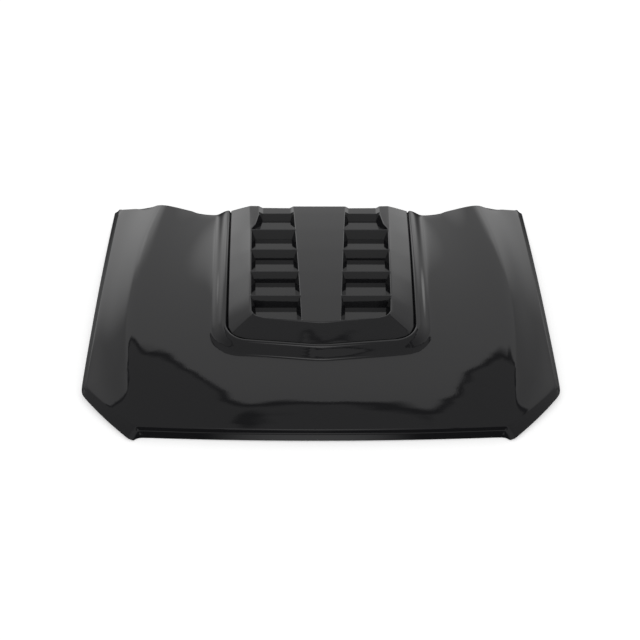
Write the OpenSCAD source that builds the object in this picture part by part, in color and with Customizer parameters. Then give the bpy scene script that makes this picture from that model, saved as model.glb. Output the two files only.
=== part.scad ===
// Car bonnet with a raised, louvred scoop.
// The pressed steel skin has a hemmed edge and a pressed collar, and a moulded louvre insert
// lies in that collar on a foam gasket. A stamped frame stiffens the skin from below and
// carries the hinge plates, the striker and the rubber stops.
// The front edge faces -Y, X runs across, and the hem rests on the floor at Z = 0.

/* [Panel] */
// Overall width of the bonnet, across its rear corners
panel_w = 1480; // [1300:10:1650]
// Overall length, from the middle of the front edge to the rear corners
panel_l = 1095; // [980:5:1250]
// How far the middle of the rear edge lies ahead of the rear corners
rear_sweep = 70; // [30:5:110]
// Thickness of the pressed skin
skin_t = 1; // [0.7:0.1:1.5]
// Depth of the lip folded down along the rear edge
rear_lip = 9; // [5:1:14]

/* [Crown] */
// Height of the centre line at the front, half way and at the rear
spine_front = 48; // [40:1:56]
spine_mid = 98; // [85:1:115]
spine_rear = 46; // [42:1:58]
// Height of the side bulges at the front, half way and at the rear
bulge_front = 44; // [38:1:52]
bulge_mid = 93; // [82:1:105]
bulge_rear = 75; // [69:1:83]
// Distance of the side bulges from the sides at the front, half way and at the rear
bulge_x_front = 194; // [170:2:220]
bulge_x_mid = 118; // [100:2:150]
bulge_x_rear = 182; // [160:2:200]
// Fall from the bulge to the side crease at the front, half way and at the rear
fall_front = 22; // [16:1:26]
fall_mid = 46; // [38:1:52]
fall_rear = 55; // [48:1:58]
// Depth of the valley between bulge and scoop at the rear
valley = 24; // [10:1:30]
// Extra droop of the nose
nose_droop = 11; // [4:1:14]

/* [Edge] */
// Width of the turned-down edge along the front
front_run = 12; // [9:1:18]
// Extra width of that edge in the middle of the cut corners
corner_run = 16; // [6:1:20]
// Width of the turned-down edge at the front end and at the rear end of each side
side_run_front = 17; // [12:1:20]
side_run = 20; // [14:1:24]
// Rise of the hem in the middle of the front edge
front_crown = 4; // [0:1:8]
// Height of the hem at the front end of each side, and half way along
side_rim_front = 26; // [18:1:28]
side_rim_mid = 34; // [26:1:36]
// Length of the cut across each front corner
cut_l = 205; // [150:5:240]
// Radius of the front corner between side and cut, and between cut and front edge
side_corner_r = 32; // [24:2:60]
nose_corner_r = 42; // [30:2:70]
// Length of the hem folded back under the edge
hem_l = 9; // [6:0.5:11]

/* [Collar] */
// Half width of the scoop opening at its front corners and at the rear edge
opening_front = 298; // [270:2:310]
opening_rear = 317; // [300:2:330]
// Distance from the panel's middle to the foremost point of the opening
opening_nose = 243; // [225:1:262]
// Set-back of the opening's front corners behind its nose
opening_vee = 24; // [10:1:36]
// Radius of the opening's front corners
opening_r = 72; // [60:1:90]
// Height of the collar above the panel
collar_h = 22; // [18:1:28]
// Width of the collar from the opening to its foot
collar_w = 54; // [44:1:62]
// Depth of the shelf below the collar's ridge
shelf_drop = 15; // [12:0.5:17]
// Width of the shelf
shelf_w = 28; // [24:1:34]

/* [Louvre insert] */
// Height of the deck above the floor at its front edge, half way and at the rear
deck_front = 138; // [130:1:148]
deck_mid = 130; // [124:1:142]
deck_rear = 90; // [84:1:96]
// Distance from the panel's middle to the foremost point of the deck
deck_nose = 176; // [160:1:186]
// Half width of the deck at its front edge and at the rear
deck_w_front = 223; // [212:1:232]
deck_w_rear = 243; // [230:1:250]
// Radius of the deck's front corners
deck_r = 42; // [30:1:50]
// Half width of the middle strip at the front and at the rear
strip_front = 60; // [45:1:75]
strip_rear = 90; // [75:1:105]
// Number of louvres in each column
louvres = 5; // [3:1:6]
// Depth of each louvre pocket
pocket_d = 36; // [24:1:38]
// Run of a pocket's rear wall, its side walls and its front wall
pocket_rear_run = 17; // [10:1:22]
pocket_side_run = 13; // [8:1:18]
pocket_front_run = 5; // [3:1:8]
// Width of the lip between two louvres
lip_w = 5; // [4:0.5:8]
// Width of the rim between the louvres and the flank
rim_w = 4.5; // [4:0.5:8]
// Depth of the step behind the last louvre, and its length
step_d = 8; // [5:0.5:11]
step_l = 42; // [30:1:56]
// Extra width of the rail beside that louvre
rail_w = 25; // [14:1:30]
// Wall thickness of the moulding
wall = 3; // [2.4:0.1:3.6]
// Gap between the insert and the collar
insert_gap = 5; // [3:0.5:7]
// Thickness and width of the gasket under the insert
seal_t = 3; // [2:0.5:5]
seal_w = 9; // [7:0.5:11]

/* [Frame] */
// Thickness of the stamped frame
frame_t = 1; // [0.7:0.1:1.4]
// Gap for adhesive between skin and frame
glue_gap = 3; // [2:0.5:4]
// Depth of the frame's ring beam around the scoop, and of its outer beam
ring_beam = 15; // [10:1:20]
outer_beam = 30; // [22:1:34]
// Height of the flat seat for the hinge plates, and for the striker
hinge_seat = 15; // [13:1:18]
latch_seat = 38; // [36:1:42]
// Depth of the cross member's channel behind the louvres, and width of its flanges
cross_d = 18; // [12:1:22]
cross_lip = 9; // [7:1:11]

/* [Fittings] */
// Clearance between parts that are placed against each other
fit = 0.3; // [0.2:0.05:0.4]
// Hinge plate width, length and thickness
hinge_w = 46; // [40:1:60]
hinge_l = 104; // [90:2:120]
plate_t = 3; // [2:0.5:4]
// Distance of the hinge plates from the sides, and ahead of the rear corners
hinge_x = 118; // [105:1:135]
hinge_back = 100; // [92:1:108]
// Distance between the two hinge bolts, and diameter of their holes
hinge_pitch = 60; // [50:1:70]
hinge_hole = 8.5; // [7:0.1:10.5]
// Width across the flats and height of the weld nuts
nut_w = 13; // [12:0.5:17]
nut_h = 8; // [6:0.5:10]
// Striker rod diameter, loop width and loop drop
striker_d = 9; // [7:0.5:10]
striker_w = 40; // [34:1:50]
striker_drop = 30; // [26:1:31]
// Striker plate width and length
striker_plate_w = 78; // [70:1:84]
striker_plate_l = 50; // [44:1:56]
// Stud diameter, diameter of its base and washer diameter of the insert's fixings
stud_d = 5; // [4:0.5:6]
stud_base_d = 18; // [14:1:20]
washer_d = 30; // [26:1:32]
// Rubber stop diameter and height
stop_d = 24; // [18:1:28]
stop_h = 12; // [8:1:14]

/* [Hidden] */

paint = "#1d1e20";
primer = "#26282b";
zinc = "#b9bcbe";
rubber = "#161616";

// Steps of the mesh round the scoop: half the front, one front corner, one side
FRONT_STEPS = 5;
CORNER_STEPS = 9;
SIDE_STEPS = 12;
// How late the rear edge sweeps back towards the corners
sweep_power = 3;
// Share of the length over which the nose droops
nose_share = 0.2;
// Share of its height that the collar loses towards the rear edge
collar_fade = 0.15;
// Radius of the bulge's crease at the front, and what it gains towards the rear
crease_soft = 12;
crease_fade = 26;
// Where the valley lies between centre and bulge, and its half width, as shares of the bulge's distance
valley_at = 0.69;
valley_reach = 0.31;
// Narrowing of the panel towards its front corners
side_taper = 5;
// Direction of the outline: after the side corner, after the cut, after the nose corner
turn_side = 40;
turn_cut = 50;
turn_nose = 86.5;
// Step outwards of the rear lip, and inward shift of its inner fold for each mm of sheet
lip_out = 2;
fold = 0.8;
// Largest share of the field that lies inside the bulge line, where the line runs out at the nose
crest_limit = 0.93;

// Blends
function lerp(a, b, t) = a + (b - a) * t;
function through(a, m, b, t) = let (k = 2 * (a + b - 2 * m)) a + (b - a - k) * t + k * t * t;
function clamp(v, lo, hi) = min(max(v, lo), hi);
function swell(u) = abs(u) < 1 ? pow(cos(90 * u), 2) : 0;
function unit(v) = v / norm(v);
function along(y) = (y + panel_l / 2) / panel_l;

// Height of the plain panel, without collar and edge
edge_in = panel_w / 2 - side_run;
function bulge_x(t) = panel_w / 2 - through(bulge_x_front, bulge_x_mid, bulge_x_rear, t);
function panel_z(x, y) =
    let (
        t = along(y),
        spine = through(spine_front, spine_mid, spine_rear, t),
        bulge = through(bulge_front, bulge_mid, bulge_rear, t),
        fall = through(fall_front, fall_mid, fall_rear, t),
        soft = crease_soft + crease_fade * pow(max(t, 0), 3),
        past = abs(x) - bulge_x(t),
        out = (past + sqrt(past * past + soft * soft)) / 2,
        w = (abs(x) - out) / bulge_x(t),
        o = out / (edge_in - bulge_x(t)),
        hollow = valley * pow(max(0, (t - 0.25) / 0.75), 1.6) * swell((w - valley_at) / valley_reach),
        droop = t < nose_share ? nose_droop * pow(1 - t / nose_share, 2) : 0
    )
    bulge + (spine - bulge) * (1 - w * w) - hollow - fall * (1.3 * o - 0.3 * o * o * o) - droop;
function rear_y(x) = panel_l / 2 - rear_sweep * (1 - pow(abs(x) / edge_in, sweep_power)) - lip_out;

// Outline of the scoop opening. A station is [stretch, share]: front 0, corner 1, side 2, rear lip 3
vee_reach = opening_front - opening_r * 0.8;
vee_turn = atan(opening_vee / vee_reach);
corner_turn = 90 - vee_turn;
arc_x = opening_front - opening_r;
vee_end = arc_x + opening_r * cos(corner_turn);
arc_y = -opening_nose + opening_vee * vee_end / vee_reach + opening_r * sin(corner_turn);
function opening_x(a) = lerp(opening_front, opening_rear, a);
function opening_point(h, d) =
    h[0] == 0 ? let (x = vee_end * h[1], turn = -90 + vee_turn * h[1])
        [x + d * cos(turn), -opening_nose + opening_vee * x / vee_reach + d * sin(turn)]
    : h[0] == 1 ? let (turn = -corner_turn * (1 - h[1]))
        [arc_x + (opening_r + d) * cos(turn), arc_y + (opening_r + d) * sin(turn)]
    : let (x = opening_x(h[1]) + d) [x, lerp(arc_y, rear_y(x), h[1]) + (h[0] == 3 ? lip_out : 0)];

// Crease along the edge of the panel: [x, y, direction of its outward normal]
edge_front_x = panel_w / 2 - side_taper - side_run_front;
cut_r = cut_l / (turn_cut - turn_side) * 180 / PI;
nose_half = edge_front_x - side_corner_r * (1 - cos(turn_side)) - cut_r * (cos(turn_side) - cos(turn_cut))
    - nose_corner_r * (cos(turn_cut) - cos(turn_nose));
nose_r = nose_half / cos(turn_nose);
nose_y = -panel_l / 2 + front_run;
nose_arc = [nose_half - nose_corner_r * cos(turn_nose),
    nose_y + nose_r * (1 - sin(turn_nose)) + nose_corner_r * sin(turn_nose)];
cut_arc = nose_arc + (nose_corner_r - cut_r) * [cos(turn_cut), -sin(turn_cut)];
side_arc = cut_arc + (cut_r - side_corner_r) * [cos(turn_side), -sin(turn_side)];
function side_crease_x(a) = panel_w / 2 - side_taper * pow(1 - a, 2) - lerp(side_run_front, side_run, a);
function on_arc(centre, r, turn) = [centre[0] + r * cos(turn), centre[1] - r * sin(turn), -turn];
function edge_point(h) =
    h[0] == 0 ? let (x = nose_half * h[1], turn = acos(x / nose_r))
        [x, nose_y + nose_r * (1 - sin(turn)), -turn]
    : h[0] == 1 ? let (u = h[1] * 3)
        u < 1 ? on_arc(nose_arc, nose_corner_r, lerp(turn_nose, turn_cut, u))
        : u < 2 ? on_arc(cut_arc, cut_r, lerp(turn_cut, turn_side, u - 1))
        : on_arc(side_arc, side_corner_r, lerp(turn_side, 0, u - 2))
    : let (x = side_crease_x(h[1])) [x, lerp(side_arc[1], rear_y(x), h[1]) + (h[0] == 3 ? lip_out : 0), 0];

// A point of the field between the collar's foot, r = 0, and the crease, r = 1
function field_point(h, r) =
    h[0] < 2 ? lerp(opening_point(h, collar_w), [edge_point(h)[0], edge_point(h)[1]], r)
    : let (x = lerp(opening_x(h[1]) + collar_w, side_crease_x(h[1]), r))
        [x, lerp(lerp(arc_y, side_arc[1], r), rear_y(x), h[1]) + (h[0] == 3 ? lip_out : 0)];
function crest_share(h, r, n) =
    n == 0 || h[0] == 0 ? min(r, crest_limit)
    : let (a = field_point(h, 0)[0], b = field_point(h, 1)[0], x = bulge_x(along(field_point(h, r)[1])))
        crest_share(h, clamp((x - a) / (b - a), 0.4, crest_limit), n - 1);
// Rows of the field: [0, share] from the foot to the bulge line, [1, share] from there to the crease
FIELD = [[0, 0.14], [0, 0.3], [0, 0.5], [0, 0.7], [0, 0.85], [0, 0.94], [1, 0], [1, 0.2], [1, 0.45], [1, 0.72]];
function row_share(h, row) =
    let (c = crest_share(h, 1, 8)) row[0] == 0 ? c * row[1] : lerp(c, 1, row[1]);
function lift(h, p, z) = [p[0], p[1], panel_z(p[0], min(p[1], rear_y(p[0]))) + z];
function collar_share(h) = h[0] < 2 ? 1 : 1 - collar_fade * pow(h[1], 2);
function collar_point(h, d, z) = lift(h, opening_point(h, d), z * collar_share(h));

// Section of the collar from the shelf to its foot: [distance from the opening, height]
shelf_z = collar_h - shelf_drop;
COLLAR = concat(
    [[-shelf_w, shelf_z], [-3.5, shelf_z], [-0.6, collar_h - 5], [2.5, collar_h - 1], [7, collar_h]],
    [for (u = [0.2:0.2:0.81]) [lerp(7, collar_w, u), collar_h * (1 + cos(180 * u)) / 2]],
    [[collar_w, 0]]);
// Moves an open line of points to its right-hand side by t
function offset_line(p, t, first) =
    [for (i = [0:len(p) - 1])
        let (
            a = i == 0 ? first : unit(p[i] - p[i - 1]),
            b = i == len(p) - 1 ? a : unit(p[i + 1] - p[i]),
            m = [a[1] + b[1], -a[0] - b[0]] / (1 + a * b)
        )
        p[i] + m * t];
COLLAR_INNER = offset_line(COLLAR, skin_t, [1, 0]);

// Section of the turned-down edge, and of the hem that closes on the frame: [out, height]
hem_fit = 0.2;
hem_t = 2 * skin_t + frame_t + 2 * hem_fit;
edge_roll = 2.5;
// Length of the hem where it is relieved at the nose corners
notch_hem = 3;
function smooth(u) = u * u * (3 - 2 * u);
function rim_z(h) =
    h[0] == 0 ? front_crown * (1 - h[1] * h[1])
    : h[0] == 1 ? side_rim_front * h[1]
    : through(side_rim_front, side_rim_mid, 0, h[1]);
function edge_run(h) =
    h[0] == 0 ? front_run
    : h[0] == 1 ? lerp(front_run, side_run_front, h[1]) + 3.5 * corner_run * sqrt(h[1]) * pow(1 - h[1], 2)
    : lerp(side_run_front, side_run, h[1]);
function edge_height(h) = let (e = edge_point(h)) panel_z(e[0], min(e[1], rear_y(e[0]))) - rim_z(h);
function ledge_start(h) = let (r = edge_run(h), z = edge_height(h)) [edge_roll + 0.28 * r, -0.4 * z];
// Where the frame's flange meets the edge, measured back from the hem's fold
function hem_reach(h) = min(hem_l + 3, 0.8 * norm(ledge_end(h) - ledge_start(h)));
// Length of the hem there, which stops short of the frame's bend
function hem_back(h) = in_notch(h) ? notch_hem : min(hem_l, hem_reach(h) - 1.5);
function ledge_way(h) = unit([edge_run(h), hem_t * 0.6 - edge_height(h)] - ledge_start(h));
function ledge_end(h) = let (e = ledge_way(h))
    [edge_run(h) - max(0, e[0] + e[1]) * hem_t / 2, -edge_height(h) + max(e[0], (e[0] - e[1]) / 2) * hem_t];
function edge_line(h) = let (s = ledge_start(h))
    [[0, 0], [edge_roll * 0.8, -edge_roll * 0.6], [s[0] - 1.5, s[1] + 2], s,
        hem_point(h, hem_reach(h), 0), ledge_end(h)];
function hem_point(h, back, deep) =
    let (e = ledge_way(h)) ledge_end(h) - e * back + [e[1], -e[0]] * deep;
function edge_outer(h) = concat(edge_line(h),
    [hem_point(h, -hem_t / 2, hem_t / 2), hem_point(h, 0, hem_t), hem_point(h, hem_back(h), hem_t)]);
function edge_inner(h) = let (p = offset_line(edge_line(h), skin_t, unit([1, -0.25])))
    concat([for (i = [0:4]) p[i]],
        [hem_point(h, 0, skin_t), hem_point(h, skin_t - hem_t / 2, hem_t / 2),
         hem_point(h, 0, hem_t - skin_t), hem_point(h, hem_back(h), hem_t - skin_t)]);
function edge_place(h, p) = let (e = edge_point(h))
    [e[0] + p[0] * cos(e[2]), e[1] + p[0] * sin(e[2]), panel_z(e[0], min(e[1], rear_y(e[0]))) + p[1]];

// Stations of the right half, and of the whole from the left rear round to the right rear
HALF = concat(
    [for (i = [0:FRONT_STEPS - 1]) [0, i / FRONT_STEPS]],
    [for (i = [0:CORNER_STEPS - 1]) [1, i / CORNER_STEPS]],
    [for (i = [0:SIDE_STEPS]) [2, i / SIDE_STEPS]]);
WITH_LIP = concat(HALF, [[3, 1]]);
function mirrored(p) = [-p[0], p[1], p[2]];
function both_sides(half) = concat(
    [for (i = [len(half) - 1:-1:1]) [for (p = half[i]) mirrored(p)]], half);

// Solid between two grids of points with the same rows; holes are cells left out
module slab(top, bottom, holes = []) {
    ni = len(top);
    nj = len(top[0]);
    n = ni * nj;
    function id(i, j) = i * nj + j;
    function open(i, j) = i < 0 || j < 0 || i > ni - 2 || j > nj - 2
        || len([for (q = holes) if (i >= q[0] && i <= q[1] && j >= q[2] && j <= q[3]) 1]) > 0;
    cells = [for (i = [0:ni - 2]) for (j = [0:nj - 2]) if (!open(i, j)) [i, j]];
    tops = [for (c = cells) let (i = c[0], j = c[1], a = id(i, j), b = id(i + 1, j), d = id(i + 1, j + 1), e = id(i, j + 1))
        each i < (ni - 2) / 2 ? [[a, b, d], [a, d, e]] : [[a, b, e], [b, d, e]]];
    sides = [for (c = cells) let (i = c[0], j = c[1], a = id(i, j), b = id(i + 1, j), d = id(i + 1, j + 1), e = id(i, j + 1))
        each concat(
            open(i, j - 1) ? [[a, b]] : [], open(i + 1, j) ? [[b, d]] : [],
            open(i, j + 1) ? [[d, e]] : [], open(i - 1, j) ? [[e, a]] : [])];
    polyhedron(
        points = concat([for (s = top) each s], [for (s = bottom) each s]),
        faces = concat(tops, [for (f = tops) [f[2] + n, f[1] + n, f[0] + n]],
            [for (s = sides) each [[s[1], s[0], s[0] + n], [s[1], s[0] + n, s[1] + n]]]),
        convexity = 8);
}

// Moves a grid of points downwards along its own normals by t
function offset_grid(g, t) = let (ni = len(g), nj = len(g[0]))
    [for (i = [0:ni - 1]) [for (j = [0:nj - 1])
        let (
            p = g[i][j],
            s = g[min(i + 1, ni - 1)][j] - g[max(i - 1, 0)][j],
            a = unit(cross(s, j > 0 ? p - g[i][j - 1] : g[i][j + 1] - p)),
            b = unit(cross(s, j < nj - 1 ? g[i][j + 1] - p : p - g[i][j - 1]))
        )
        p + (a + b) / max(1 + a * b, 0.35) * t]];

function skin_outer(h) = let (drop = h[0] == 3 ? rear_lip : 0) concat(
    [for (c = COLLAR) collar_point(h, c[0], c[1]) - [0, 0, drop]],
    [for (f = FIELD) lift(h, field_point(h, row_share(h, f)), -drop)],
    [for (p = edge_outer(h)) edge_place(h, p)]);
function skin_inner(h) = let (
        drop = h[0] == 3 ? rear_lip : 0,
        back = h[0] == 3 ? [0, -skin_t, 0] : h == [2, 1] ? [0, -fold * skin_t, 0] : [0, 0, 0])
    concat(
        [for (c = COLLAR_INNER) back + collar_point(h, c[0], c[1]) - [0, 0, drop]],
        [for (f = FIELD) back + lift(h, field_point(h, row_share(h, f)), -drop - (h[0] == 3 ? 0 : skin_t))],
        [for (p = edge_inner(h)) edge_place(h, p)]);

module outer_panel() {
    color(paint)
        slab(both_sides([for (h = WITH_LIP) skin_outer(h)]), both_sides([for (h = WITH_LIP) skin_inner(h)]));
}

// Shelf of the collar, straight across between its two ends
shelf_near = COLLAR[1][0];
function shelf_point(h, d, z) =
    let (a = collar_point(h, -shelf_w, shelf_z), b = collar_point(h, shelf_near, shelf_z))
    [each opening_point(h, d), lerp(a[2], b[2], (d + shelf_w) / (shelf_w + shelf_near)) + z];

// Deck of the insert. Lines across, as half widths: middle, strip, pocket floor, its middle and edge, pocket, rim
function deck_half(y) = lerp(deck_w_front, deck_w_rear, (y + deck_nose) / (rear_y(0) + deck_nose));
insert_drop = 8;
// Depth of the lip along its rear edge, in the middle and at its two ends above the shelf
skirt = 13;
skirt_end = 2;
function vee(x) = opening_vee * abs(x) / vee_reach;
function deck_z(y) = through(deck_front, deck_mid, deck_rear, (y + deck_nose) / (rear_y(0) + deck_nose));
// Lines along, from the rear: lip, rear edge, five for each pocket, front edge. Each is [y, share of the front's vee]
last_y = rear_y(0) - step_l;
first_y = -deck_nose + rim_w;
pitch = (last_y - first_y + lip_w) / louvres;
function pocket_y(c) = let (
        back = last_y - c * pitch,
        front = back - pitch + lip_w,
        v = c == louvres - 1 ? 1 : 0
    )
    [[back, 0], [back - pocket_rear_run, 0],
     [lerp(back - pocket_rear_run, front + pocket_front_run, 0.66), v / 2],
     [front + pocket_front_run, v], [front, v]];
ROWS_Y = concat([[0, 0], [0, 0]], [for (c = [0:louvres - 1]) each pocket_y(c)], [[-deck_nose, 1]]);
LINES = 7;
last_line = LINES - 1;
last_row = len(ROWS_Y) - 1;
// Place of a row in its pocket: 0 and 4 are the pocket's edges, 1 to 3 its floor
function pocket_row(j) = j < 2 || j == last_row ? -1 : (j - 2) % 5;
function is_floor(i, j) = i >= 2 && i <= 4 && pocket_row(j) >= 1 && pocket_row(j) <= 3;
function is_step(i, j) = i >= 2 && i <= 4 && j <= 2;
function is_lip(i, j) = i >= 2 && i <= 4 && (pocket_row(j) == 0 && j > 2 || pocket_row(j) == 4);
function rail(j) = rail_w * (j <= 3 ? 1 : j == 4 ? 0.55 : 0);
function line_x(i, j, y) = let (
        strip = lerp(strip_front, strip_rear, (y - first_y) / (last_y - first_y)),
        rim = deck_half(y),
        out = rim - rim_w - rail(j),
        floor_out = out - pocket_side_run
    )
    [0, strip, strip + pocket_side_run, min(rim - deck_r, floor_out) - 4, floor_out, out, rim][i];
// Rounds the corner of the deck: squares about its centre become arcs, before the vee is added
function rounded(x, y) = let (
        centre = deck_half(y) - deck_r,
        qx = x - centre,
        qy = -deck_nose + deck_r - (y - vee(x)),
        s = qx > 0 && qy > 0 ? max(qx, qy) / norm([qx, qy]) : 1,
        rx = centre + qx * s
    )
    s == 1 ? [x, y] : [rx, -deck_nose + deck_r - qy * s + vee(rx)];
function row_y(j, x) = j == 0 ? rear_y(x) + lip_out : j == 1 ? rear_y(x) : ROWS_Y[j][0] + ROWS_Y[j][1] * vee(x);
function deck_top(i, j) = let (
        y0 = row_y(j, deck_w_front),
        x = line_x(i, j, y0),
        p = rounded(x, row_y(j, x)),
        down = is_floor(i, j) ? pocket_d : is_step(i, j) ? step_d : 0
    )
    [p[0], p[1], deck_z(min(p[1], rear_y(0))) - down - (j == 0 ? skirt : 0)];
// Under side of the deck: each point moves away from its top by the wall, outwards under the pockets
function deck_under(i, j) = let (
        t = deck_top(i, j),
        r = pocket_row(j),
        dx = i == 1 || i == 2 ? -wall : i == 4 ? wall : i == 5 ? 0.7 * wall : 0,
        dy = j == 0 ? -wall : j == 1 ? -fold * wall
            : r == 1 && i > 1 && i < 5 ? wall : r == 3 && i > 1 && i < 5 ? -wall
            : r == 0 && j > 2 ? 0.4 * lip_w - wall / 5 : r == 4 ? wall / 5 - 0.4 * lip_w : 0,
        dz = j == 0 ? 0 : is_lip(i, j) ? 3 * wall : wall
    )
    t + [dx, dy, -dz];
function pocket_sum(i, j) = (is_floor(i, j) ? 2 : 0) + (is_step(i, j) ? 1 : 0);

// Flank of the insert: from a point on the rim of the deck down to the collar
function flank_station(i, j) = let (
        x = line_x(i, j, row_y(j, deck_w_front)),
        y = row_y(j, x),
        centre = deck_half(y) - deck_r,
        qx = x - centre,
        qy = -deck_nose + vee(x) + deck_r - y
    )
    j == 0 ? [3, 1]
    : qx > 0 && qy > 0 ? [1, 1 - atan2(qy, qx) / 90]
    : qx > 0 ? let (y1 = -deck_nose + vee(x) + deck_r) [2, (y - y1) / (rear_y(x) - y1)]
    : [0, x / centre];
seat_w = 12;
FLANK = [0.07, 0.35, 0.62];
flank_bulge = 1;
function edge_top(h) = collar_point(h, -insert_gap, collar_h - insert_drop);
function flank_top(i, j, f) = let (
        a = deck_top(i, j),
        h = flank_station(i, j),
        b = edge_top(h) - [0, 0, h[0] == 3 ? skirt_end : 0]
    )
    lerp(a, b, f) + [0, 0, flank_bulge * 4 * f * (1 - f)];
function seat_share(h, a) = 1 - seat_w / norm([for (k = [0, 1]) edge_top(h)[k] - a[k]]);
function flank_rows(i, j) = let (s = seat_share(flank_station(i, j), deck_top(i, j)))
    [for (f = concat(FLANK, [s, 1])) flank_top(i, j, f)];
function flank_under(i, j) = let (
        h = flank_station(i, j),
        rear = h[0] == 3,
        back = rear ? [0, -wall, 0] : h == [2, 1] ? [0, -fold * wall, 0] : [0, 0, 0],
        s = seat_share(h, deck_top(i, j)),
        down = rear ? 0 : wall * 1.1,
        seat = seal_t + fit,
        foot = rear ? -skirt : 0
    )
    concat(
        [for (f = [FLANK[0] - 0.02, FLANK[1], s - 0.07]) back + flank_top(i, j, f) - [0, 0, down]],
        rear ? [back + flank_top(i, j, s), back + flank_top(i, j, 1)]
        : [back + shelf_point(h, -insert_gap - seat_w, seat), back + shelf_point(h, -insert_gap, seat)]);

// The rim of the deck in order, from the rear along the side to the front's middle
RIM = concat([for (j = [0:last_row]) [last_line, j]], [for (i = [last_line - 1:-1:0]) [i, last_row]]);

module insert_shell() {
    nx = 2 * LINES - 1;
    ny = last_row + 1;
    deck_n = nx * ny;
    half = len(RIM) - 1;
    stations = 2 * half + 1;
    rows = len(FLANK) + 2;
    n = deck_n + stations * rows;
    function turned(i, p) = i < last_line ? mirrored(p) : p;
    function deck_id(i, j) = i * ny + j;
    function side(s) = RIM[s <= half ? s : 2 * half - s];
    function rim_id(s) = let (r = side(s)) deck_id(s < half ? last_line - r[0] : last_line + r[0], r[1]);
    function flank_id(s, r) = r == 0 ? rim_id(s) : deck_n + s * rows + r - 1;
    function flip(s, list) = s < half ? [for (p = list) mirrored(p)] : list;
    top = concat(
        [for (i = [0:nx - 1]) for (j = [0:ny - 1]) turned(i, deck_top(abs(i - last_line), j))],
        [for (s = [0:stations - 1]) each flip(s, flank_rows(side(s)[0], side(s)[1]))]);
    under = concat(
        [for (i = [0:nx - 1]) for (j = [0:ny - 1]) turned(i, deck_under(abs(i - last_line), j))],
        [for (s = [0:stations - 1]) each flip(s, flank_under(side(s)[0], side(s)[1]))]);
    deck_faces = [for (i = [0:nx - 2]) for (j = [0:ny - 2])
        let (
            a = deck_id(i, j), b = deck_id(i + 1, j), d = deck_id(i + 1, j + 1), e = deck_id(i, j + 1),
            p = abs(i - last_line), q = abs(i + 1 - last_line),
            one = pocket_sum(p, j) + pocket_sum(q, j + 1),
            two = pocket_sum(q, j) + pocket_sum(p, j + 1)
        )
        each one > two || one == two && i < last_line ? [[a, b, d], [a, d, e]] : [[a, b, e], [b, d, e]]];
    flank_faces = [for (s = [0:stations - 2]) for (r = [0:rows - 1])
        let (a = flank_id(s, r), b = flank_id(s + 1, r), d = flank_id(s + 1, r + 1), e = flank_id(s, r + 1))
        each s < half ? [[a, b, d], [a, d, e]] : [[a, b, e], [b, d, e]]];
    faces = concat(deck_faces, flank_faces);
    loop = concat(
        [for (i = [0:nx - 2]) [deck_id(i, 0), deck_id(i + 1, 0)]],
        [for (s = [0:stations - 2]) [flank_id(s + 1, rows), flank_id(s, rows)]],
        [for (r = [0:rows - 1]) [flank_id(0, r + 1), flank_id(0, r)]],
        [for (r = [0:rows - 1]) [flank_id(stations - 1, r), flank_id(stations - 1, r + 1)]]);
    polyhedron(
        points = concat(top, under),
        faces = concat(faces, [for (f = faces) [f[2] + n, f[1] + n, f[0] + n]],
            [for (e = loop) each [[e[1], e[0], e[0] + n], [e[1], e[0] + n, e[1] + n]]]),
        convexity = 10);
}

// Places round the opening where the insert is bolted down, on the right half
FIXINGS = [[0, 0.6], [2, 0.22], [2, 0.5], [2, 0.78]];
// Width of the insert's flank there, and the place of a fixing inside the opening, under the flank
function flank_run(h) = h[0] == 0 ? opening_nose - deck_nose
    : opening_x(h[1]) - deck_half(opening_point(h, 0)[1]);
function fixing_in(h) = min(shelf_w + washer_d / 4, flank_run(h) - stud_base_d / 2);
washer_t = 2;
stud_base_t = 3.5;
nut_t = 4;
// Underside of the frame's flange below the shelf
flange_under = -skin_t - frame_t - fit;
// Puts its children at a point of the right half or its mirror image, square to a slope [along X, along Y]
module seated(p, slope, side) {
    translate([side * p[0], p[1], p[2]])
        rotate([atan(slope[1]), -side * atan(slope[0]), 0])
            children();
}
function fixing_foot(h) = shelf_point(h, -fixing_in(h), flange_under - fit);
function fixing_slope(h) = let (p = opening_point(h, -shelf_w), k = 5)
    [(panel_z(p[0] + k, p[1]) - panel_z(p[0] - k, p[1])) / (2 * k),
     (panel_z(p[0], p[1] + k) - panel_z(p[0], p[1] - k)) / (2 * k)];
module at_fixings() {
    for (h = FIXINGS, side = [1, -1])
        seated(fixing_foot(h), fixing_slope(h), side)
            children();
}
// Underside of the insert's flank above a fixing: its rise per mm inwards, its slope and its place
function flank_rise(h) = let (p = opening_point(h, -fixing_in(h)))
    (deck_z(max(p[1], -deck_nose)) - edge_top(h)[2]) / (flank_run(h) - insert_gap);
function flank_slope(h) = let (s = fixing_slope(h))
    h[0] == 0 ? [s[0], flank_rise(h)] : [-flank_rise(h), s[1]];
function fixing_head(h) = let (d = fixing_in(h))
    [each opening_point(h, -d), edge_top(h)[2] + flank_rise(h) * (d - insert_gap) - 1.1 * wall - fit];

// Louvred insert, one moulding
module scoop_insert() {
    color(paint)
        insert_shell();
}

// Studs bonded under the insert, each a round base with a shank
module insert_studs() {
    below = washer_t + nut_t + 4;
    color(zinc)
        for (h = FIXINGS, side = [1, -1]) {
            seated(fixing_head(h), flank_slope(h), side)
                translate([0, 0, -stud_base_t])
                    cylinder(h = stud_base_t, d = stud_base_d, $fn = 36);
            seated(fixing_foot(h), fixing_slope(h), side)
                translate([0, 0, -below])
                    cylinder(h = fixing_head(h)[2] - fixing_foot(h)[2] + below - 0.6 * stud_base_t, d = stud_d, $fn = 24);
        }
}

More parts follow.
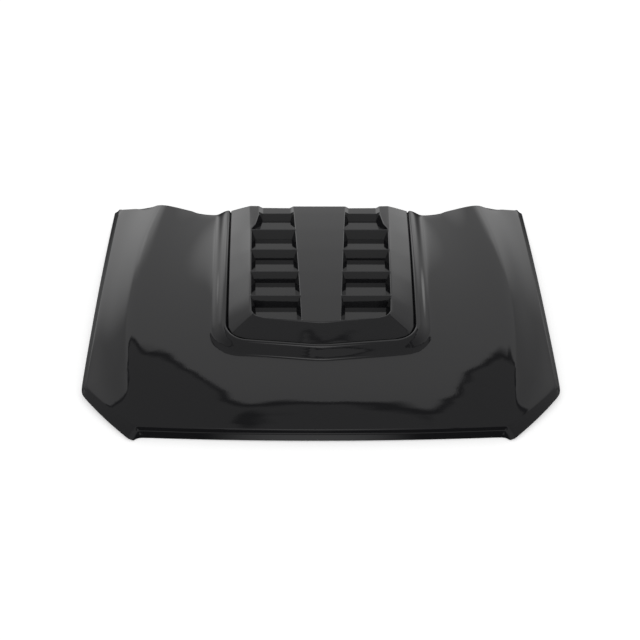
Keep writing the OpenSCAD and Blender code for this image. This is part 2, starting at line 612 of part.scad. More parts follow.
module insert_washers() {
    color(zinc)
        at_fixings()
            translate([0, 0, -washer_t])
                difference() {
                    cylinder(h = washer_t, d = washer_d, $fn = 36);
                    translate([0, 0, -1])
                        cylinder(h = washer_t + 2, d = stud_d + 0.5, $fn = 24);
                }
}

module insert_nuts() {
    color(zinc)
        at_fixings()
            translate([0, 0, -washer_t - nut_t])
                difference() {
                    cylinder(h = nut_t, d = 2 * stud_d, $fn = 6);
                    translate([0, 0, -1])
                        cylinder(h = nut_t + 2, d = stud_d + 0.2, $fn = 24);
                }
}

// Foam gasket on the shelf
module insert_gasket() {
    near = -insert_gap - 1.5;
    function ring(h, z) = [for (d = [near - seal_w, near]) shelf_point(h, d, z)];
    color(rubber)
        slab(both_sides([for (h = HALF) ring(h, seal_t - fit / 2)]), both_sides([for (h = HALF) ring(h, fit / 2)]));
}

// Rows of the frame across the panel: [share of the field at the front, field part, share at the sides, kind]
// Kind 0 lies under the skin with the adhesive gap, kind 1 is the bottom of the outer beam
FRAME_ROWS = [
    [0.12, 0, 0.14, 0], [0.2, 0, 0.3, 0], [0.28, 0, 0.5, 0], [0.36, 0, 0.7, 0], [0.42, 0, 0.85, 0],
    [0.46, 0, 0.94, 1], [0.72, 1, 0, 1], [0.84, 1, 0.2, 1], [0.93, 1, 0.72, 1]];
flat_from = 0.7;
function side_share(h) = h[0] == 0 ? 0 : h[0] == 1 ? h[1] : 1;
function beam_z(h, p) = let (
        top = panel_z(p[0], p[1]),
        side = max(top - outer_beam, rim_z(h) + 6),
        flat = h[0] == 2 ? smooth(clamp((h[1] - flat_from) / 0.12, 0, 1)) : 0
    )
    lerp(min(latch_seat, top - 9), lerp(side, hinge_seat, flat), side_share(h));
function frame_point(h, row) = let (
        r = lerp(row[0], row_share(h, [row[1], row[2]]), side_share(h)),
        p = field_point(h, r)
    )
    [p[0], p[1], row[3] == 0 ? panel_z(p[0], p[1]) - skin_t - glue_gap : beam_z(h, p)];
// The frame is notched at the nose corners, where the hem folds round
function in_notch(h) = h[0] == 1 && h[1] < 1.5 / CORNER_STEPS;
// It ends a little ahead of the skin's rear lip
function frame_top(h) = let (
        back = h == [2, 1] ? [0, -skin_t - fit, 0] : [0, 0, 0],
        points = concat(
            [for (d = [-shelf_w + 2, -8]) shelf_point(h, d, -skin_t - fit)],
            [for (d = [2, collar_w - 8]) collar_point(h, d, -ring_beam)],
            [for (row = FRAME_ROWS) frame_point(h, row)],
            [edge_place(h, hem_point(h, hem_reach(h), skin_t + hem_fit)),
             edge_place(h, hem_point(h, in_notch(h) ? hem_l : 2, skin_t + hem_fit))])
    )
    [for (p = points) p + back];
// Windows of the frame between its ribs: first and last step of each, counted from the front's middle
WINDOWS = [[1, 3], [5, 8], [10, 13], [15, 17], [19, 21]];
window_rows = [5, 6];
function frame_holes() = let (mid = len(HALF) - 1)
    [for (w = WINDOWS) each [
        [mid + w[0], mid + w[1], window_rows[0], window_rows[1]],
        [mid - 1 - w[1], mid - 1 - w[0], window_rows[0], window_rows[1]]]];
// Seats of the hinge plates and of the striker on the frame's underside
hinge_at = panel_w / 2 - hinge_x;
hinge_y = panel_l / 2 - hinge_back;
latch_y = let (a = frame_point([0, 0], FRAME_ROWS[5]), b = frame_point([0, 0], FRAME_ROWS[6])) (a[1] + b[1]) / 2;
hinge_under = hinge_seat - frame_t;
latch_under = latch_seat - frame_t;
striker_bolt_x = striker_w / 2 + 12;
striker_bolt_d = 6;
module at_hinge_bolts() {
    for (side = [-1, 1], k = [-1, 1])
        translate([side * hinge_at, hinge_y + k * hinge_pitch / 2, 0])
            children();
}
module at_striker_bolts() {
    for (side = [-1, 1])
        translate([side * striker_bolt_x, latch_y, 0])
            children();
}
module inner_panel() {
    frame = both_sides([for (h = HALF) frame_top(h)]);
    drain_w = 9;
    hole_fn = 20;
    color(primer)
        difference() {
            slab(frame, offset_grid(frame, frame_t), frame_holes());
            at_hinge_bolts()
                translate([0, 0, hinge_under - 2])
                    hull()
                        cylinder(h = frame_t + 4, d = hinge_hole + 2, $fn = hole_fn);
            at_striker_bolts()
                translate([0, 0, latch_under - 2])
                    hull()
                        cylinder(h = frame_t + 4, d = striker_bolt_d + 2, $fn = hole_fn);
            // Slots that let paint and water out of the hinge seats
            for (side = [-1, 1])
                translate([side * hinge_at, hinge_y + hinge_l / 2 + 14, hinge_under - 2])
                    hull()
                        for (k = [-1, 1])
                            translate([k * drain_w, 0, 0])
                                cylinder(h = frame_t + 4, d = drain_w, $fn = hole_fn);
        }
}

// Cross member that closes the frame behind the louvres
module rear_cross_member() {
    sheet_t = 1.2;
    y1 = rear_y(0) - 8;
    y0 = last_y - 3;
    xe = opening_rear - shelf_w + cross_lip;
    rows = [[y0, 0], [y0 + cross_lip, 0], [y0 + cross_lip + 4, cross_d],
        [y1 - cross_lip - 4, cross_d], [y1 - cross_lip, 0], [y1, 0]];
    function under(y) = let (a = (y - arc_y) / (rear_y(opening_rear) - arc_y))
        min([for (d = [-shelf_w, 12 - shelf_w]) shelf_point([2, a], d, flange_under)[2]]);
    stations = [for (k = [-4:4]) k / 4 * xe];
    // Rows run from the rear forwards, so that its top faces up
    grid = [for (x = stations) [for (i = [len(rows) - 1:-1:0]) [x, rows[i][0], under(rows[i][0]) - rows[i][1] - fit]]];
    color(primer)
        slab(grid, offset_grid(grid, sheet_t));
}

// Beads of adhesive that stop the skin from drumming on the frame
PADS = [15, 17, 19, 21, 23];
module adhesive_pads() {
    function bead(h, z) = [for (f = [FIELD[0], FIELD[1]]) lift(h, field_point(h, row_share(h, f)), z)];
    color(rubber)
        for (c = PADS) {
            pair = [HALF[c], HALF[c + 1]];
            for (side = [0, 1])
                mirror([side, 0, 0])
                    slab([for (h = pair) bead(h, -skin_t)], [for (h = pair) bead(h, -skin_t - glue_gap)]);
        }
}

module hinge_plate(side) {
    color(zinc)
        translate([side * hinge_at, hinge_y, hinge_under - plate_t])
            difference() {
                linear_extrude(plate_t)
                    offset(r = 6, $fn = 32)
                        square([hinge_w - 12, hinge_l - 12], center = true);
                for (k = [-1, 1])
                    translate([0, k * hinge_pitch / 2, -1])
                        cylinder(h = plate_t + 2, d = hinge_hole, $fn = 48);
            }
}
module hinge_plate_left() {
    hinge_plate(-1);
}
module hinge_plate_right() {
    hinge_plate(1);
}
module hinge_weld_nuts() {
    color(zinc)
        at_hinge_bolts()
            translate([0, 0, hinge_seat])
                difference() {
                    cylinder(h = nut_h, r = nut_w / 2 / cos(30), $fn = 6);
                    translate([0, 0, -1])
                        cylinder(h = nut_h + 2, d = hinge_hole, $fn = 48);
                }
}

// Striker: a plate under the frame, a bent rod welded to it, and its two bolts
module striker_plate() {
    color(zinc)
        translate([0, latch_y, latch_under - plate_t])
            difference() {
                linear_extrude(plate_t)
                    offset(r = 6, $fn = 32)
                        square([striker_plate_w - 12, striker_plate_l - 12], center = true);
                for (side = [-1, 1])
                    translate([side * striker_bolt_x, 0, -1])
                        cylinder(h = plate_t + 2, d = striker_bolt_d + 0.5, $fn = 32);
            }
}
module striker_loop() {
    bend = striker_d;
    r = striker_w / 2 - striker_d / 2;
    leg = striker_drop - striker_d / 2 - bend;
    color(zinc)
        translate([0, latch_y, latch_under - plate_t])
            for (side = [-1, 1]) {
                translate([side * r, 0, -leg])
                    cylinder(h = leg, d = striker_d, $fn = 32);
                translate([side * (r - bend), 0, -leg])
                    rotate([-90, 0, 0])
                        rotate([0, 0, side > 0 ? 0 : 90])
                            rotate_extrude(angle = 90, $fn = 32)
                                translate([bend, 0])
                                    circle(d = striker_d, $fn = 32);
                translate([side > 0 ? 0 : -(r - bend), 0, -leg - bend])
                    rotate([0, 90, 0])
                        cylinder(h = r - bend, d = striker_d, $fn = 32);
            }
}
module striker_bolts() {
    color(zinc)
        at_striker_bolts() {
            translate([0, 0, latch_under - plate_t])
                cylinder(h = plate_t + frame_t + 7, d = striker_bolt_d, $fn = 32);
            translate([0, 0, latch_under - plate_t - 4])
                cylinder(h = 4, d = 10, $fn = 6);
            translate([0, 0, latch_seat])
                cylinder(h = 5, d = 10, $fn = 6);
        }
}

// Rubber stops under the front corners of the frame
module rubber_stops() {
    h = [0, 0.8];
    p = lerp(frame_point(h, FRAME_ROWS[5]), frame_point(h, FRAME_ROWS[6]), 0.5);
    color(rubber)
        for (side = [-1, 1])
            translate([side * p[0], p[1], latch_under - stop_h])
                cylinder(h = stop_h, d1 = stop_d - 5, d2 = stop_d, $fn = 48);
}

outer_panel();
inner_panel();
rear_cross_member();
scoop_insert();
insert_gasket();
insert_studs();
insert_washers();
insert_nuts();
adhesive_pads();
hinge_plate_left();
hinge_plate_right();
hinge_weld_nuts();
striker_plate();
striker_loop();
striker_bolts();
rubber_stops();
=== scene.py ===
import math

import bmesh
import bpy
from mathutils import Matrix, Vector


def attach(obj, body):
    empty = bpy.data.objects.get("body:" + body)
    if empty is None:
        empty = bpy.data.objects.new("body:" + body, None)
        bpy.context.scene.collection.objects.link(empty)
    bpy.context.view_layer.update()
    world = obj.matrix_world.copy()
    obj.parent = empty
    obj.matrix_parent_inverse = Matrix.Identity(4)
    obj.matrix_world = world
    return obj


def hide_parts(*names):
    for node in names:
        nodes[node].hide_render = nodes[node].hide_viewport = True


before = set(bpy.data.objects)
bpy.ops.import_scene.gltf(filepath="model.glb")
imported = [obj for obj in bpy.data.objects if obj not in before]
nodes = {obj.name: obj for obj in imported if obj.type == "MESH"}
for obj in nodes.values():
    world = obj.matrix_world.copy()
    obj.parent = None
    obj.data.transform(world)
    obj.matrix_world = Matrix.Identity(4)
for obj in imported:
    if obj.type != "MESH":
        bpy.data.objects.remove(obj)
scene = bpy.context.scene


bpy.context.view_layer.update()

# Camera: where it aims, how far away it is, and its angles in degrees
AIM = Vector((-0.0024, -0.0828, 0.0600))
DISTANCE = 3.784
LOOK_DOWN = 43.0
LOOK_ASIDE = 1.05
ROLL = 0.734
LENS = 66.3
SENSOR = 36.0


def add_camera():
    """A camera that looks to the rear and down, from in front of the bonnet."""
    down = math.radians(LOOK_DOWN)
    aside = math.radians(LOOK_ASIDE)
    ahead = Vector((math.sin(aside) * math.cos(down), math.cos(aside) * math.cos(down), -math.sin(down)))
    turn = ahead.to_track_quat("-Z", "Y").to_matrix() @ Matrix.Rotation(math.radians(ROLL), 3, "Z")
    camera = bpy.data.objects.new("camera", bpy.data.cameras.new("camera"))
    camera.data.lens = LENS
    camera.data.sensor_width = SENSOR
    camera.matrix_world = Matrix.Translation(AIM - ahead * DISTANCE) @ turn.to_4x4()
    scene.collection.objects.link(camera)
    scene.camera = camera


# Shader helpers
WHITE = (1.0, 1.0, 1.0, 1.0)
# Most values of a noise lie between these two, round its middle
NOISE_LOW = 0.3
NOISE_MIDDLE = 0.5
NOISE_HIGH = 0.7


def new_material(name):
    """An empty node material: its tree, its Principled shader and its object coordinates."""
    material = bpy.data.materials.new(name)
    material.use_nodes = True
    tree = material.node_tree
    tree.nodes.clear()
    output = tree.nodes.new("ShaderNodeOutputMaterial")
    shader = tree.nodes.new("ShaderNodeBsdfPrincipled")
    place = tree.nodes.new("ShaderNodeTexCoord")
    tree.links.new(shader.outputs["BSDF"], output.inputs["Surface"])
    return material, tree, shader, place.outputs["Object"]


def feed(tree, socket, value):
    """Gives a socket a value, which is a number, a colour or another socket."""
    if isinstance(value, bpy.types.NodeSocket):
        tree.links.new(value, socket)
    else:
        socket.default_value = value


def add_noise(tree, place, scale, detail=2.0):
    """A noise at a scale, which is a number or a socket."""
    noise = tree.nodes.new("ShaderNodeTexNoise")
    noise.inputs["Detail"].default_value = detail
    feed(tree, noise.inputs["Scale"], scale)
    tree.links.new(place, noise.inputs["Vector"])
    return noise.outputs["Fac"]


def spread(tree, value, low, high):
    """Maps most values of a noise onto the range from low to high."""
    node = tree.nodes.new("ShaderNodeMapRange")
    node.inputs["From Min"].default_value = NOISE_LOW
    node.inputs["From Max"].default_value = NOISE_HIGH
    feed(tree, node.inputs["To Min"], low)
    feed(tree, node.inputs["To Max"], high)
    tree.links.new(value, node.inputs["Value"])
    return node.outputs["Result"]


def math_node(tree, operation, first, second):
    """A Math node of two values, each a number or a socket."""
    node = tree.nodes.new("ShaderNodeMath")
    node.operation = operation
    feed(tree, node.inputs[0], first)
    feed(tree, node.inputs[1], second)
    return node.outputs[0]


def mix(tree, factor, first, second, kind="FLOAT"):
    """A Mix node of two values or two colours."""
    node = tree.nodes.new("ShaderNodeMix")
    node.data_type = kind
    sockets = [socket for socket in node.inputs if socket.enabled]
    for socket, value in zip(sockets, (factor, first, second)):
        feed(tree, socket, value)
    return next(socket for socket in node.outputs if socket.enabled)


def eased(tree, value, start, end, low, high):
    """Goes smoothly from low to high as the value goes from start to end."""
    node = tree.nodes.new("ShaderNodeMapRange")
    node.interpolation_type = "SMOOTHSTEP"
    for label, number in (("From Min", start), ("From Max", end), ("To Min", low), ("To Max", high)):
        node.inputs[label].default_value = number
    tree.links.new(value, node.inputs["Value"])
    return node.outputs["Result"]


def new_group(name, inputs, outputs):
    """An empty node group. Inputs are (name, socket type, default), outputs are (name, socket type)."""
    tree = bpy.data.node_groups.new(name, "ShaderNodeTree")
    for label, kind, default in inputs:
        socket = tree.interface.new_socket(label, in_out="INPUT", socket_type=kind)
        if default is not None:
            socket.default_value = default
    for label, kind in outputs:
        tree.interface.new_socket(label, in_out="OUTPUT", socket_type=kind)
    return tree, tree.nodes.new("NodeGroupInput"), tree.nodes.new("NodeGroupOutput")


def place_group(tree, group, place, **values):
    """Puts a group into a material, at its coordinates and with its own values."""
    node = tree.nodes.new("ShaderNodeGroup")
    node.node_tree = group
    tree.links.new(place, node.inputs["Vector"])
    for label, value in values.items():
        node.inputs[label.replace("_", " ")].default_value = value
    return node


# Slow waviness of a gloss surface, and the detail of that and of its ripples
WAVE_SCALE = 11.0
PEEL_DETAIL = 1.0
# Changes in the roughness of a gloss surface: their scale, their detail, and their range as shares of it
SHINE_SCALE = 14.0
SHINE_DETAIL = 3.0
SHINE_RANGE = (0.8, 1.3)
# Patches of a plain finish: their detail, and how much finer those of roughness are than those of colour
PATCH_DETAIL = 4.0
FINER = 3.0


def orange_peel_group():
    """A sprayed or moulded gloss surface: fine ripples on a slow waviness, and a roughness that varies."""
    tree, given, made = new_group(
        "orange peel",
        [("Vector", "NodeSocketVector", None), ("Ripple scale", "NodeSocketFloat", 260.0),
         ("Wave share", "NodeSocketFloat", 0.5), ("Shine", "NodeSocketFloat", 0.05)],
        [("Height", "NodeSocketFloat"), ("Roughness", "NodeSocketFloat")])
    place = given.outputs["Vector"]
    ripples = add_noise(tree, place, given.outputs["Ripple scale"], PEEL_DETAIL)
    waves = add_noise(tree, place, WAVE_SCALE, PEEL_DETAIL)
    tree.links.new(mix(tree, given.outputs["Wave share"], ripples, waves), made.inputs["Height"])
    least, most = (math_node(tree, "MULTIPLY", given.outputs["Shine"], share) for share in SHINE_RANGE)
    rough = spread(tree, add_noise(tree, place, SHINE_SCALE, SHINE_DETAIL), least, most)
    tree.links.new(rough, made.inputs["Roughness"])
    return tree


def patches_group():
    """Two tones in soft patches, and a roughness that varies in smaller ones."""
    tree, given, made = new_group(
        "patches",
        [("Vector", "NodeSocketVector", None), ("Scale", "NodeSocketFloat", 10.0),
         ("Dark", "NodeSocketColor", None), ("Light", "NodeSocketColor", None),
         ("Least", "NodeSocketFloat", 0.3), ("Most", "NodeSocketFloat", 0.5)],
        [("Color", "NodeSocketColor"), ("Roughness", "NodeSocketFloat")])
    place = given.outputs["Vector"]
    share = spread(tree, add_noise(tree, place, given.outputs["Scale"], PATCH_DETAIL), 0.0, 1.0)
    tone = mix(tree, share, given.outputs["Dark"], given.outputs["Light"], "RGBA")
    tree.links.new(tone, made.inputs["Color"])
    finer = add_noise(tree, place, math_node(tree, "MULTIPLY", given.outputs["Scale"], FINER))
    rough = spread(tree, finer, given.outputs["Least"], given.outputs["Most"])
    tree.links.new(rough, made.inputs["Roughness"])
    return tree


def grain_group():
    """Height of a fine grain, or of open cells where Cells is 1."""
    tree, given, made = new_group(
        "grain",
        [("Vector", "NodeSocketVector", None), ("Scale", "NodeSocketFloat", 900.0),
         ("Cells", "NodeSocketFloat", 0.0)],
        [("Height", "NodeSocketFloat")])
    cells = tree.nodes.new("ShaderNodeTexVoronoi")
    tree.links.new(given.outputs["Vector"], cells.inputs["Vector"])
    tree.links.new(given.outputs["Scale"], cells.inputs["Scale"])
    fine = add_noise(tree, given.outputs["Vector"], given.outputs["Scale"])
    height = mix(tree, given.outputs["Cells"], fine, cells.outputs["Distance"])
    tree.links.new(height, made.inputs["Height"])
    return tree


peel = orange_peel_group()
patches = patches_group()
grains = grain_group()

# Index of refraction of the gloss surfaces
GLOSS_IOR = 1.5


def add_bump(tree, shader, height, distance):
    """Bumps a shader's normal by a height of 0 to 1 times a distance."""
    bump = tree.nodes.new("ShaderNodeBump")
    bump.inputs["Distance"].default_value = distance
    tree.links.new(height, bump.inputs["Height"])
    tree.links.new(bump.outputs["Normal"], shader.inputs["Normal"])


def gloss_black(name, colour, shine, peel_depth, ripple, share):
    """A black gloss surface. Shine sets its roughness, and share is the part of waves in its peel."""
    material, tree, shader, place = new_material(name)
    shader.inputs["Base Color"].default_value = (*colour, 1.0)
    shader.inputs["IOR"].default_value = GLOSS_IOR
    surface = place_group(tree, peel, place, Ripple_scale=ripple, Wave_share=share, Shine=shine)
    tree.links.new(surface.outputs["Roughness"], shader.inputs["Roughness"])
    add_bump(tree, shader, surface.outputs["Height"], peel_depth)
    return material


def finish(name, dark, light, roughness, patch, grain, depth, metallic=0.0, cells=0.0):
    """A plain finish: two tones in patches, a roughness between two values, and a grain or open cells."""
    material, tree, shader, place = new_material(name)
    shader.inputs["Metallic"].default_value = metallic
    least, most = roughness
    tones = place_group(tree, patches, place, Scale=patch, Dark=(*dark, 1.0), Light=(*light, 1.0),
                        Least=least, Most=most)
    tree.links.new(tones.outputs["Color"], shader.inputs["Base Color"])
    tree.links.new(tones.outputs["Roughness"], shader.inputs["Roughness"])
    surface = place_group(tree, grains, place, Scale=grain, Cells=cells)
    add_bump(tree, shader, surface.outputs["Height"], depth)
    return material


# Surfaces
# Vertices closer than this become one
MERGE_DISTANCE = 1e-5
# Two triangles join across an edge that turns less than this, into a face that is skewed less, in radians
JOIN_TURN = 0.7
JOIN_SKEW = 3.1
# Turn past which an edge that is left unrounded stays a crisp corner
CORNER_TURN = math.radians(40)
# The most that wide faces can count in the shading of their edges
WIDE_FACES = 100


def merged_copy(node):
    """A bmesh of a CAD node with its doubles merged and its triangles joined to four-sided faces."""
    bm = bmesh.new()
    bm.from_mesh(nodes[node].data)
    bmesh.ops.remove_doubles(bm, verts=bm.verts, dist=MERGE_DISTANCE)
    bmesh.ops.join_triangles(
        bm, faces=bm.faces, angle_face_threshold=JOIN_TURN, angle_shape_threshold=JOIN_SKEW,
        topology_influence=1.0)
    bm.normal_update()
    return bm


def finish_mesh(bm, name):
    """An object of a bmesh: smooth faces with crisp corners."""
    mesh = bpy.data.meshes.new(name)
    bm.normal_update()
    for face in bm.faces:
        face.smooth = True
    for edge in bm.edges:
        edge.smooth = not edge.is_manifold or edge.calc_face_angle() < CORNER_TURN
    bm.to_mesh(mesh)
    bm.free()
    piece = bpy.data.objects.new(name, mesh)
    scene.collection.objects.link(piece)
    return piece


def stand_in(bm, name, node, material):
    """Finishes a piece that stands for a CAD node, hides the node, and gives the piece a material."""
    piece = finish_mesh(bm, name)
    piece.data.materials.append(material)
    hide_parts(node)
    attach(piece, "root")
    return piece


def subdivide(piece, levels):
    """Smooths a piece by subdivision, as much in a view as in a render."""
    modifier = piece.modifiers.new("smooth", "SUBSURF")
    modifier.levels = levels
    modifier.render_levels = levels


def weigh_normals(piece):
    """Lets the wide faces keep their own shading up to the narrow ones that round their edges."""
    modifier = piece.modifiers.new("shading", "WEIGHTED_NORMAL")
    modifier.mode = "FACE_AREA"
    modifier.weight = WIDE_FACES
    modifier.keep_sharp = True


# The side edge turns down outside this distance from the middle, over this width, by this share of its height
EDGE_LINE = 0.7195
EDGE_RUN = 0.0185
EDGE_SINK = 0.34
# Turns of the skin's edges in radians: a fold, a pressed line outside the collar, and the line of a bulge
FOLD = math.radians(80)
PRESSED_LINE = math.radians(17)
BULGE_LINE = math.radians(9)
# How crisp the line of a bulge and the line of the side edge stay, where 1 is a sharp line
BULGE_CREASE = 0.38
EDGE_CREASE = 0.25
# The stretch round the collar, where the section is a smooth curve, and where the bulges start
COLLAR_SIDE = 0.42
COLLAR_FRONT = -0.32
BULGE_START = 0.52
# A pressed line rises by less than this share of its length
LEVEL_RUN = 0.35
SKIN_LEVELS = 2


def turn_down(bm):
    """Turns the side edges down, the frame's flange with the skin that is folded round it."""
    for vert in bm.verts:
        outward = (abs(vert.co.x) - EDGE_LINE) / EDGE_RUN
        vert.co.z *= 1 - EDGE_SINK * min(max(outward, 0), 1)


def add_skin(material):
    """Outer skin. Its folds and pressed lines stay sharp, its bulges and side edges turn on a soft line."""
    bm = merged_copy("outer_panel")
    turn_down(bm)
    bm.normal_update()
    crease = bm.edges.layers.float.new("crease_edge")
    for edge in bm.edges:
        if not edge.is_manifold:
            continue
        turn = edge.calc_face_angle()
        run = edge.verts[1].co - edge.verts[0].co
        place = (edge.verts[0].co + edge.verts[1].co) / 2
        at_collar = abs(place.x) < COLLAR_SIDE and place.y > COLLAR_FRONT
        along = abs(run.z) < LEVEL_RUN * run.length
        at_edge = abs(place.x) > EDGE_LINE - EDGE_RUN / 2 and abs(run.y) > abs(run.x)
        if turn > FOLD or (turn > PRESSED_LINE and along and not at_collar):
            edge[crease] = EDGE_CREASE if at_edge and turn < FOLD else 1.0
        elif turn > BULGE_LINE and abs(run.y) > abs(run.x) and abs(place.x) > BULGE_START:
            edge[crease] = BULGE_CREASE
    piece = stand_in(bm, "skin", "outer_panel", material)
    subdivide(piece, SKIN_LEVELS)
    weigh_normals(piece)


# Turn past which an edge is rounded
EDGE_TURN = math.radians(24)


def round_edges(bm, edges, rounding, segments, clamp=True):
    """Bevels those of the edges that turn past EDGE_TURN."""
    sharp = [edge for edge in edges if edge.is_manifold and edge.calc_face_angle() > EDGE_TURN]
    bmesh.ops.bevel(
        bm, geom=sharp, offset=rounding, offset_type="OFFSET", segments=segments, profile=0.5,
        affect="EDGES", material=-1, clamp_overlap=clamp)


# Rounding of the insert's outer edges, and the shortest edge that is rounded
INSERT_ROUNDING = 0.0024
SHORT_EDGE = 0.004
# The upper side's faces look up by more than this, as the sine of the angle
UPPER_SIDE = -0.2
# The deck's middle line: this close to the middle, where the surface looks up by more than this
MIDDLE_LINE = 1e-5
DECK_TOP = 0.5
# The pockets lie between these distances from the middle, over this stretch, deeper than this below the deck
POCKET_SIDES = (0.06, 0.235)
POCKET_ENDS = (-0.18, 0.43)
POCKET_DEPTH = 0.03
LOUVRES = 5
# How far a floor is turned from the slope of the deck towards level
LEVEL_SHARE = 0.5


def deck_height(spine, y):
    """Height of the deck's middle line at a place along it."""
    after = next(i for i, place in enumerate(spine) if place[0] >= y)
    (y0, z0), (y1, z1) = spine[max(after - 1, 0)], spine[after]
    return z1 if y1 == y0 else z0 + (z1 - z0) * (y - y0) / (y1 - y0)


def level_pockets(bm):
    """Lifts the rear of each pocket's floor, so that the floor slopes less than the deck."""
    spine = sorted(
        (v.co.y, v.co.z) for v in bm.verts if abs(v.co.x) < MIDDLE_LINE and v.normal.z > DECK_TOP)
    front, rear = POCKET_ENDS
    pitch = (rear - front) / LOUVRES
    deep = []
    for vert in bm.verts:
        x, y, z = vert.co
        if POCKET_SIDES[0] < abs(x) < POCKET_SIDES[1] and front < y < rear:
            height = deck_height(spine, y)
            if height - z > POCKET_DEPTH:
                deep.append((vert, int((y - front) / pitch), height))
    for louvre in range(LOUVRES):
        floor = [(vert, height) for vert, pocket, height in deep if pocket == louvre]
        highest = max(height for _, height in floor)
        for vert, height in floor:
            vert.co.z += LEVEL_SHARE * (highest - height)


def add_insert(material):
    """Louvred insert: one moulding, with the outer edges of its upper side rounded."""
    bm = merged_copy("scoop_insert")
    level_pockets(bm)
    bm.normal_update()
    edges = [edge for edge in bm.edges if edge.is_convex and edge.calc_length() > SHORT_EDGE
             and min(face.normal.z for face in edge.link_faces) > UPPER_SIDE]
    round_edges(bm, edges, INSERT_ROUNDING, segments=3, clamp=False)
    weigh_normals(stand_in(bm, "louvre_insert", "scoop_insert", material))


# An edge shorter than this is taken out with the empty faces beside it
SHORTEST = 1e-6


def add_fitting(name, node, slot, material, rounding):
    """A piece under the skin: the CAD form with its edges broken and its curves shaded smooth."""
    bm = merged_copy(node)
    turn_down(bm)
    round_edges(bm, bm.edges, rounding, segments=2)
    bmesh.ops.dissolve_degenerate(bm, dist=SHORTEST, edges=bm.edges)
    weigh_normals(stand_in(bm, name, node, material))


# Floor: its width, colour and roughness, and how much it glows to the camera
FLOOR_SIZE = 24.0
FLOOR_COLOUR = (0.82, 0.82, 0.82, 1.0)
FLOOR_ROUGHNESS = 0.9
FLOOR_GLOW = 0.42
# Light from all round on a matt surface
PLAIN_LEVEL = 0.8
# What a reflection shows of the walls, behind the panel and before it
BACKDROP_LEVEL = 0.9
FRONT_LEVEL = 0.48
# Shares of it that are left at the sides and below the horizon
SIDE_FADE = 0.72
GROUND_LEVEL = 0.12
# Where these change, as parts of a unit direction: towards the rear, to either side, and up
REAR_TURN = (-0.2, 0.5)
SIDE_TURN = (0.4, 0.6)
HORIZON = (-0.1, 0.1)
# The ceiling: its level, the height at which it starts, as the sine of the angle, and how soft its edge is
CEILING_LEVEL = 0.38
CEILING_EDGE = 0.765
CEILING_BLUR = 0.014
# Waves of its edge: their height, scale and detail
CEILING_WAVE = 0.2
CEILING_WAVE_SCALE = 5.0
CEILING_WAVE_DETAIL = 3.0
# Near the middle of a gap it starts higher by this much, and this ends between these distances from there
CEILING_RISE = 0.175
CEILING_GAP = (0.09, 0.19)
GAP_MIDDLE = 0.03
# The dark seam along its edge: its width, and its level as a share of the ceiling's
SEAM_WIDTH = 0.02
SEAM_LEVEL = 0.35
# Lamps: (direction from the rear, height) in degrees, half width in degrees, added level
LAMPS = [
    ((-29, 17), 19, 0.85),
    ((24, 16), 18, 0.6),
    ((-15, 27), 12, 0.7),
    ((15, 24), 10, 0.35),
    ((-45, 4), 7, 2.1),
    ((45, 4), 7, 1.5),
    ((-48, -14), 18, 0.25),
    ((48, -14), 18, 0.25),
    ((180, -16), 9, 0.8),
    ((0, 88), 8, 1.7),
]


def add_floor():
    """A pale floor that glows to the camera and stays out of reflections."""
    bm = bmesh.new()
    bmesh.ops.create_grid(bm, x_segments=1, y_segments=1, size=FLOOR_SIZE / 2)
    piece = finish_mesh(bm, "floor")
    piece.visible_glossy = False
    material, tree, shader, _ = new_material("floor white")
    shader.inputs["Base Color"].default_value = FLOOR_COLOUR
    shader.inputs["Roughness"].default_value = FLOOR_ROUGHNESS
    shader.inputs["Specular IOR Level"].default_value = 0.0
    path = tree.nodes.new("ShaderNodeLightPath")
    seen = math_node(tree, "MAXIMUM", path.outputs["Is Camera Ray"], path.outputs["Is Glossy Ray"])
    shader.inputs["Emission Color"].default_value = WHITE
    tree.links.new(math_node(tree, "MULTIPLY", seen, FLOOR_GLOW), shader.inputs["Emission Strength"])
    piece.data.materials.append(material)


def toward(turn, height):
    """Unit vector to a place in the studio: turned from the rear to the right, and up, in degrees."""
    turn, height = math.radians(turn), math.radians(height)
    return (math.sin(turn) * math.cos(height), math.cos(turn) * math.cos(height), math.sin(height))


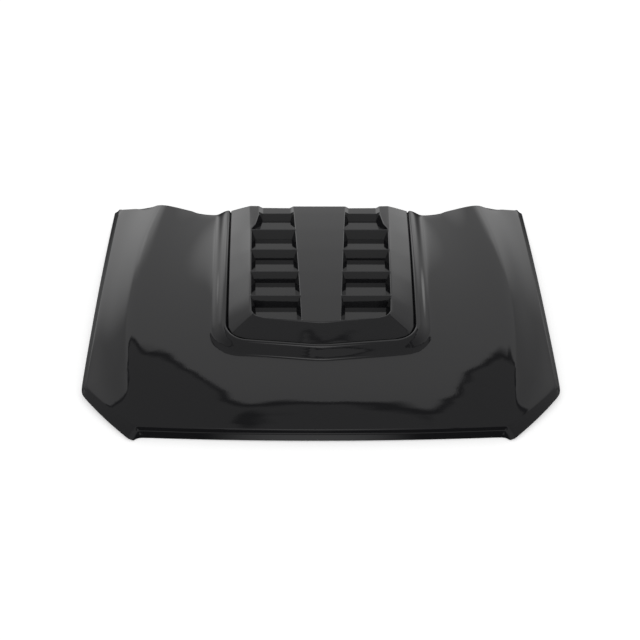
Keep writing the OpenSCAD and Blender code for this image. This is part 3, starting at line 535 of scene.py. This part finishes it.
def add_world():
    """White to the camera. To reflections, pale walls and lamps under a darker ceiling."""
    world = bpy.data.worlds.new("studio")
    scene.world = world
    world.use_nodes = True
    tree = world.node_tree
    tree.nodes.clear()
    output = tree.nodes.new("ShaderNodeOutputWorld")
    path = tree.nodes.new("ShaderNodeLightPath")
    place = tree.nodes.new("ShaderNodeTexCoord").outputs["Generated"]
    parts = tree.nodes.new("ShaderNodeSeparateXYZ")
    tree.links.new(place, parts.inputs[0])
    across, back, up = parts.outputs

    aside = math_node(tree, "ABSOLUTE", across, 0.0)
    noise = add_noise(tree, place, CEILING_WAVE_SCALE, CEILING_WAVE_DETAIL)
    wave = math_node(tree, "SUBTRACT", noise, NOISE_MIDDLE)
    edge = math_node(tree, "ADD", up, math_node(tree, "MULTIPLY", wave, CEILING_WAVE))
    from_gap = math_node(tree, "ABSOLUTE", math_node(tree, "SUBTRACT", across, GAP_MIDDLE), 0.0)
    edge = math_node(tree, "SUBTRACT", edge, eased(tree, from_gap, *CEILING_GAP, CEILING_RISE, 0.0))
    edge = math_node(tree, "SUBTRACT", edge, CEILING_EDGE)

    walls = eased(tree, back, *REAR_TURN, FRONT_LEVEL, BACKDROP_LEVEL)
    walls = math_node(tree, "MULTIPLY", walls, eased(tree, aside, *SIDE_TURN, 1.0, SIDE_FADE))
    seam = SEAM_LEVEL * CEILING_LEVEL
    ceiling = eased(tree, edge, SEAM_WIDTH, SEAM_WIDTH + CEILING_BLUR, seam, CEILING_LEVEL)
    below = eased(tree, edge, 0.0, CEILING_BLUR, 1.0, 0.0)
    level = mix(tree, below, ceiling, walls)
    level = math_node(tree, "MULTIPLY", level, eased(tree, up, *HORIZON, GROUND_LEVEL, 1.0))
    for place_of, width, strength in LAMPS:
        near = tree.nodes.new("ShaderNodeVectorMath")
        near.operation = "DOT_PRODUCT"
        near.inputs[1].default_value = toward(*place_of)
        tree.links.new(place, near.inputs[0])
        glow = eased(tree, near.outputs["Value"], math.cos(math.radians(width)), 1.0, 0.0, strength)
        level = math_node(tree, "ADD", level, glow)

    glossy = path.outputs["Is Glossy Ray"]
    shown = math_node(tree, "MAXIMUM", path.outputs["Is Camera Ray"], path.outputs["Is Transmission Ray"])
    plain = math_node(tree, "SUBTRACT", 1.0, math_node(tree, "MAXIMUM", shown, glossy))
    level = math_node(tree, "ADD", math_node(tree, "MULTIPLY", level, glossy), shown)
    level = math_node(tree, "ADD", level, math_node(tree, "MULTIPLY", plain, PLAIN_LEVEL))
    background = tree.nodes.new("ShaderNodeBackground")
    background.inputs["Color"].default_value = WHITE
    tree.links.new(level, background.inputs["Strength"])
    tree.links.new(background.outputs[0], output.inputs["Surface"])


scene.view_settings.view_transform = "Standard"
add_camera()
add_floor()
add_world()

paint = gloss_black(
    "black lacquer", colour=(0.006, 0.006, 0.007), shine=0.03, peel_depth=0.00002, ripple=260.0, share=0.5)
moulding = gloss_black(
    "moulded black", colour=(0.008, 0.008, 0.009), shine=0.06, peel_depth=0.00003, ripple=420.0, share=0.3)
coat = finish(
    "frame coat", dark=(0.018, 0.019, 0.021), light=(0.028, 0.029, 0.031), roughness=(0.36, 0.5),
    patch=7.0, grain=900.0, depth=0.00002)
zinc = finish(
    "zinc plate", dark=(0.45, 0.45, 0.43), light=(0.66, 0.66, 0.63), roughness=(0.26, 0.42),
    patch=70.0, grain=1500.0, depth=0.00001, metallic=1.0)
rubber = finish(
    "moulded rubber", dark=(0.011, 0.011, 0.011), light=(0.02, 0.02, 0.02), roughness=(0.62, 0.8),
    patch=60.0, grain=2500.0, depth=0.00003)
foam = finish(
    "foam strip", dark=(0.016, 0.016, 0.017), light=(0.034, 0.034, 0.035), roughness=(0.88, 0.96),
    patch=40.0, grain=700.0, depth=0.0003, cells=1.0)
mastic = finish(
    "mastic", dark=(0.045, 0.045, 0.047), light=(0.08, 0.08, 0.082), roughness=(0.5, 0.66),
    patch=30.0, grain=140.0, depth=0.0004)
add_skin(paint)
add_insert(moulding)
# Pieces under the skin: name, node, slot, material, rounding of the edges
for fitting in (
    ("stamped_frame", "inner_panel", "frame_coat", coat, 0.0004),
    ("cross_pressing", "rear_cross_member", "frame_coat", coat, 0.0004),
    ("left_hinge_bracket", "hinge_plate_left", "frame_coat", coat, 0.0005),
    ("right_hinge_bracket", "hinge_plate_right", "frame_coat", coat, 0.0005),
    ("lock_bracket", "striker_plate", "frame_coat", coat, 0.0005),
    ("foam_seal", "insert_gasket", "foam", foam, 0.0008),
    ("stud_set", "insert_studs", "insert_paint", moulding, 0.0004),
    ("washer_set", "insert_washers", "zinc", zinc, 0.0002),
    ("nut_set", "insert_nuts", "zinc", zinc, 0.0004),
    ("weld_nut_set", "hinge_weld_nuts", "zinc", zinc, 0.0004),
    ("lock_loop", "striker_loop", "zinc", zinc, 0.0003),
    ("lock_bolts", "striker_bolts", "zinc", zinc, 0.0004),
    ("mastic_pads", "adhesive_pads", "mastic", mastic, 0.001),
    ("buffer_set", "rubber_stops", "rubber", rubber, 0.0008),
):
    add_fitting(*fitting)
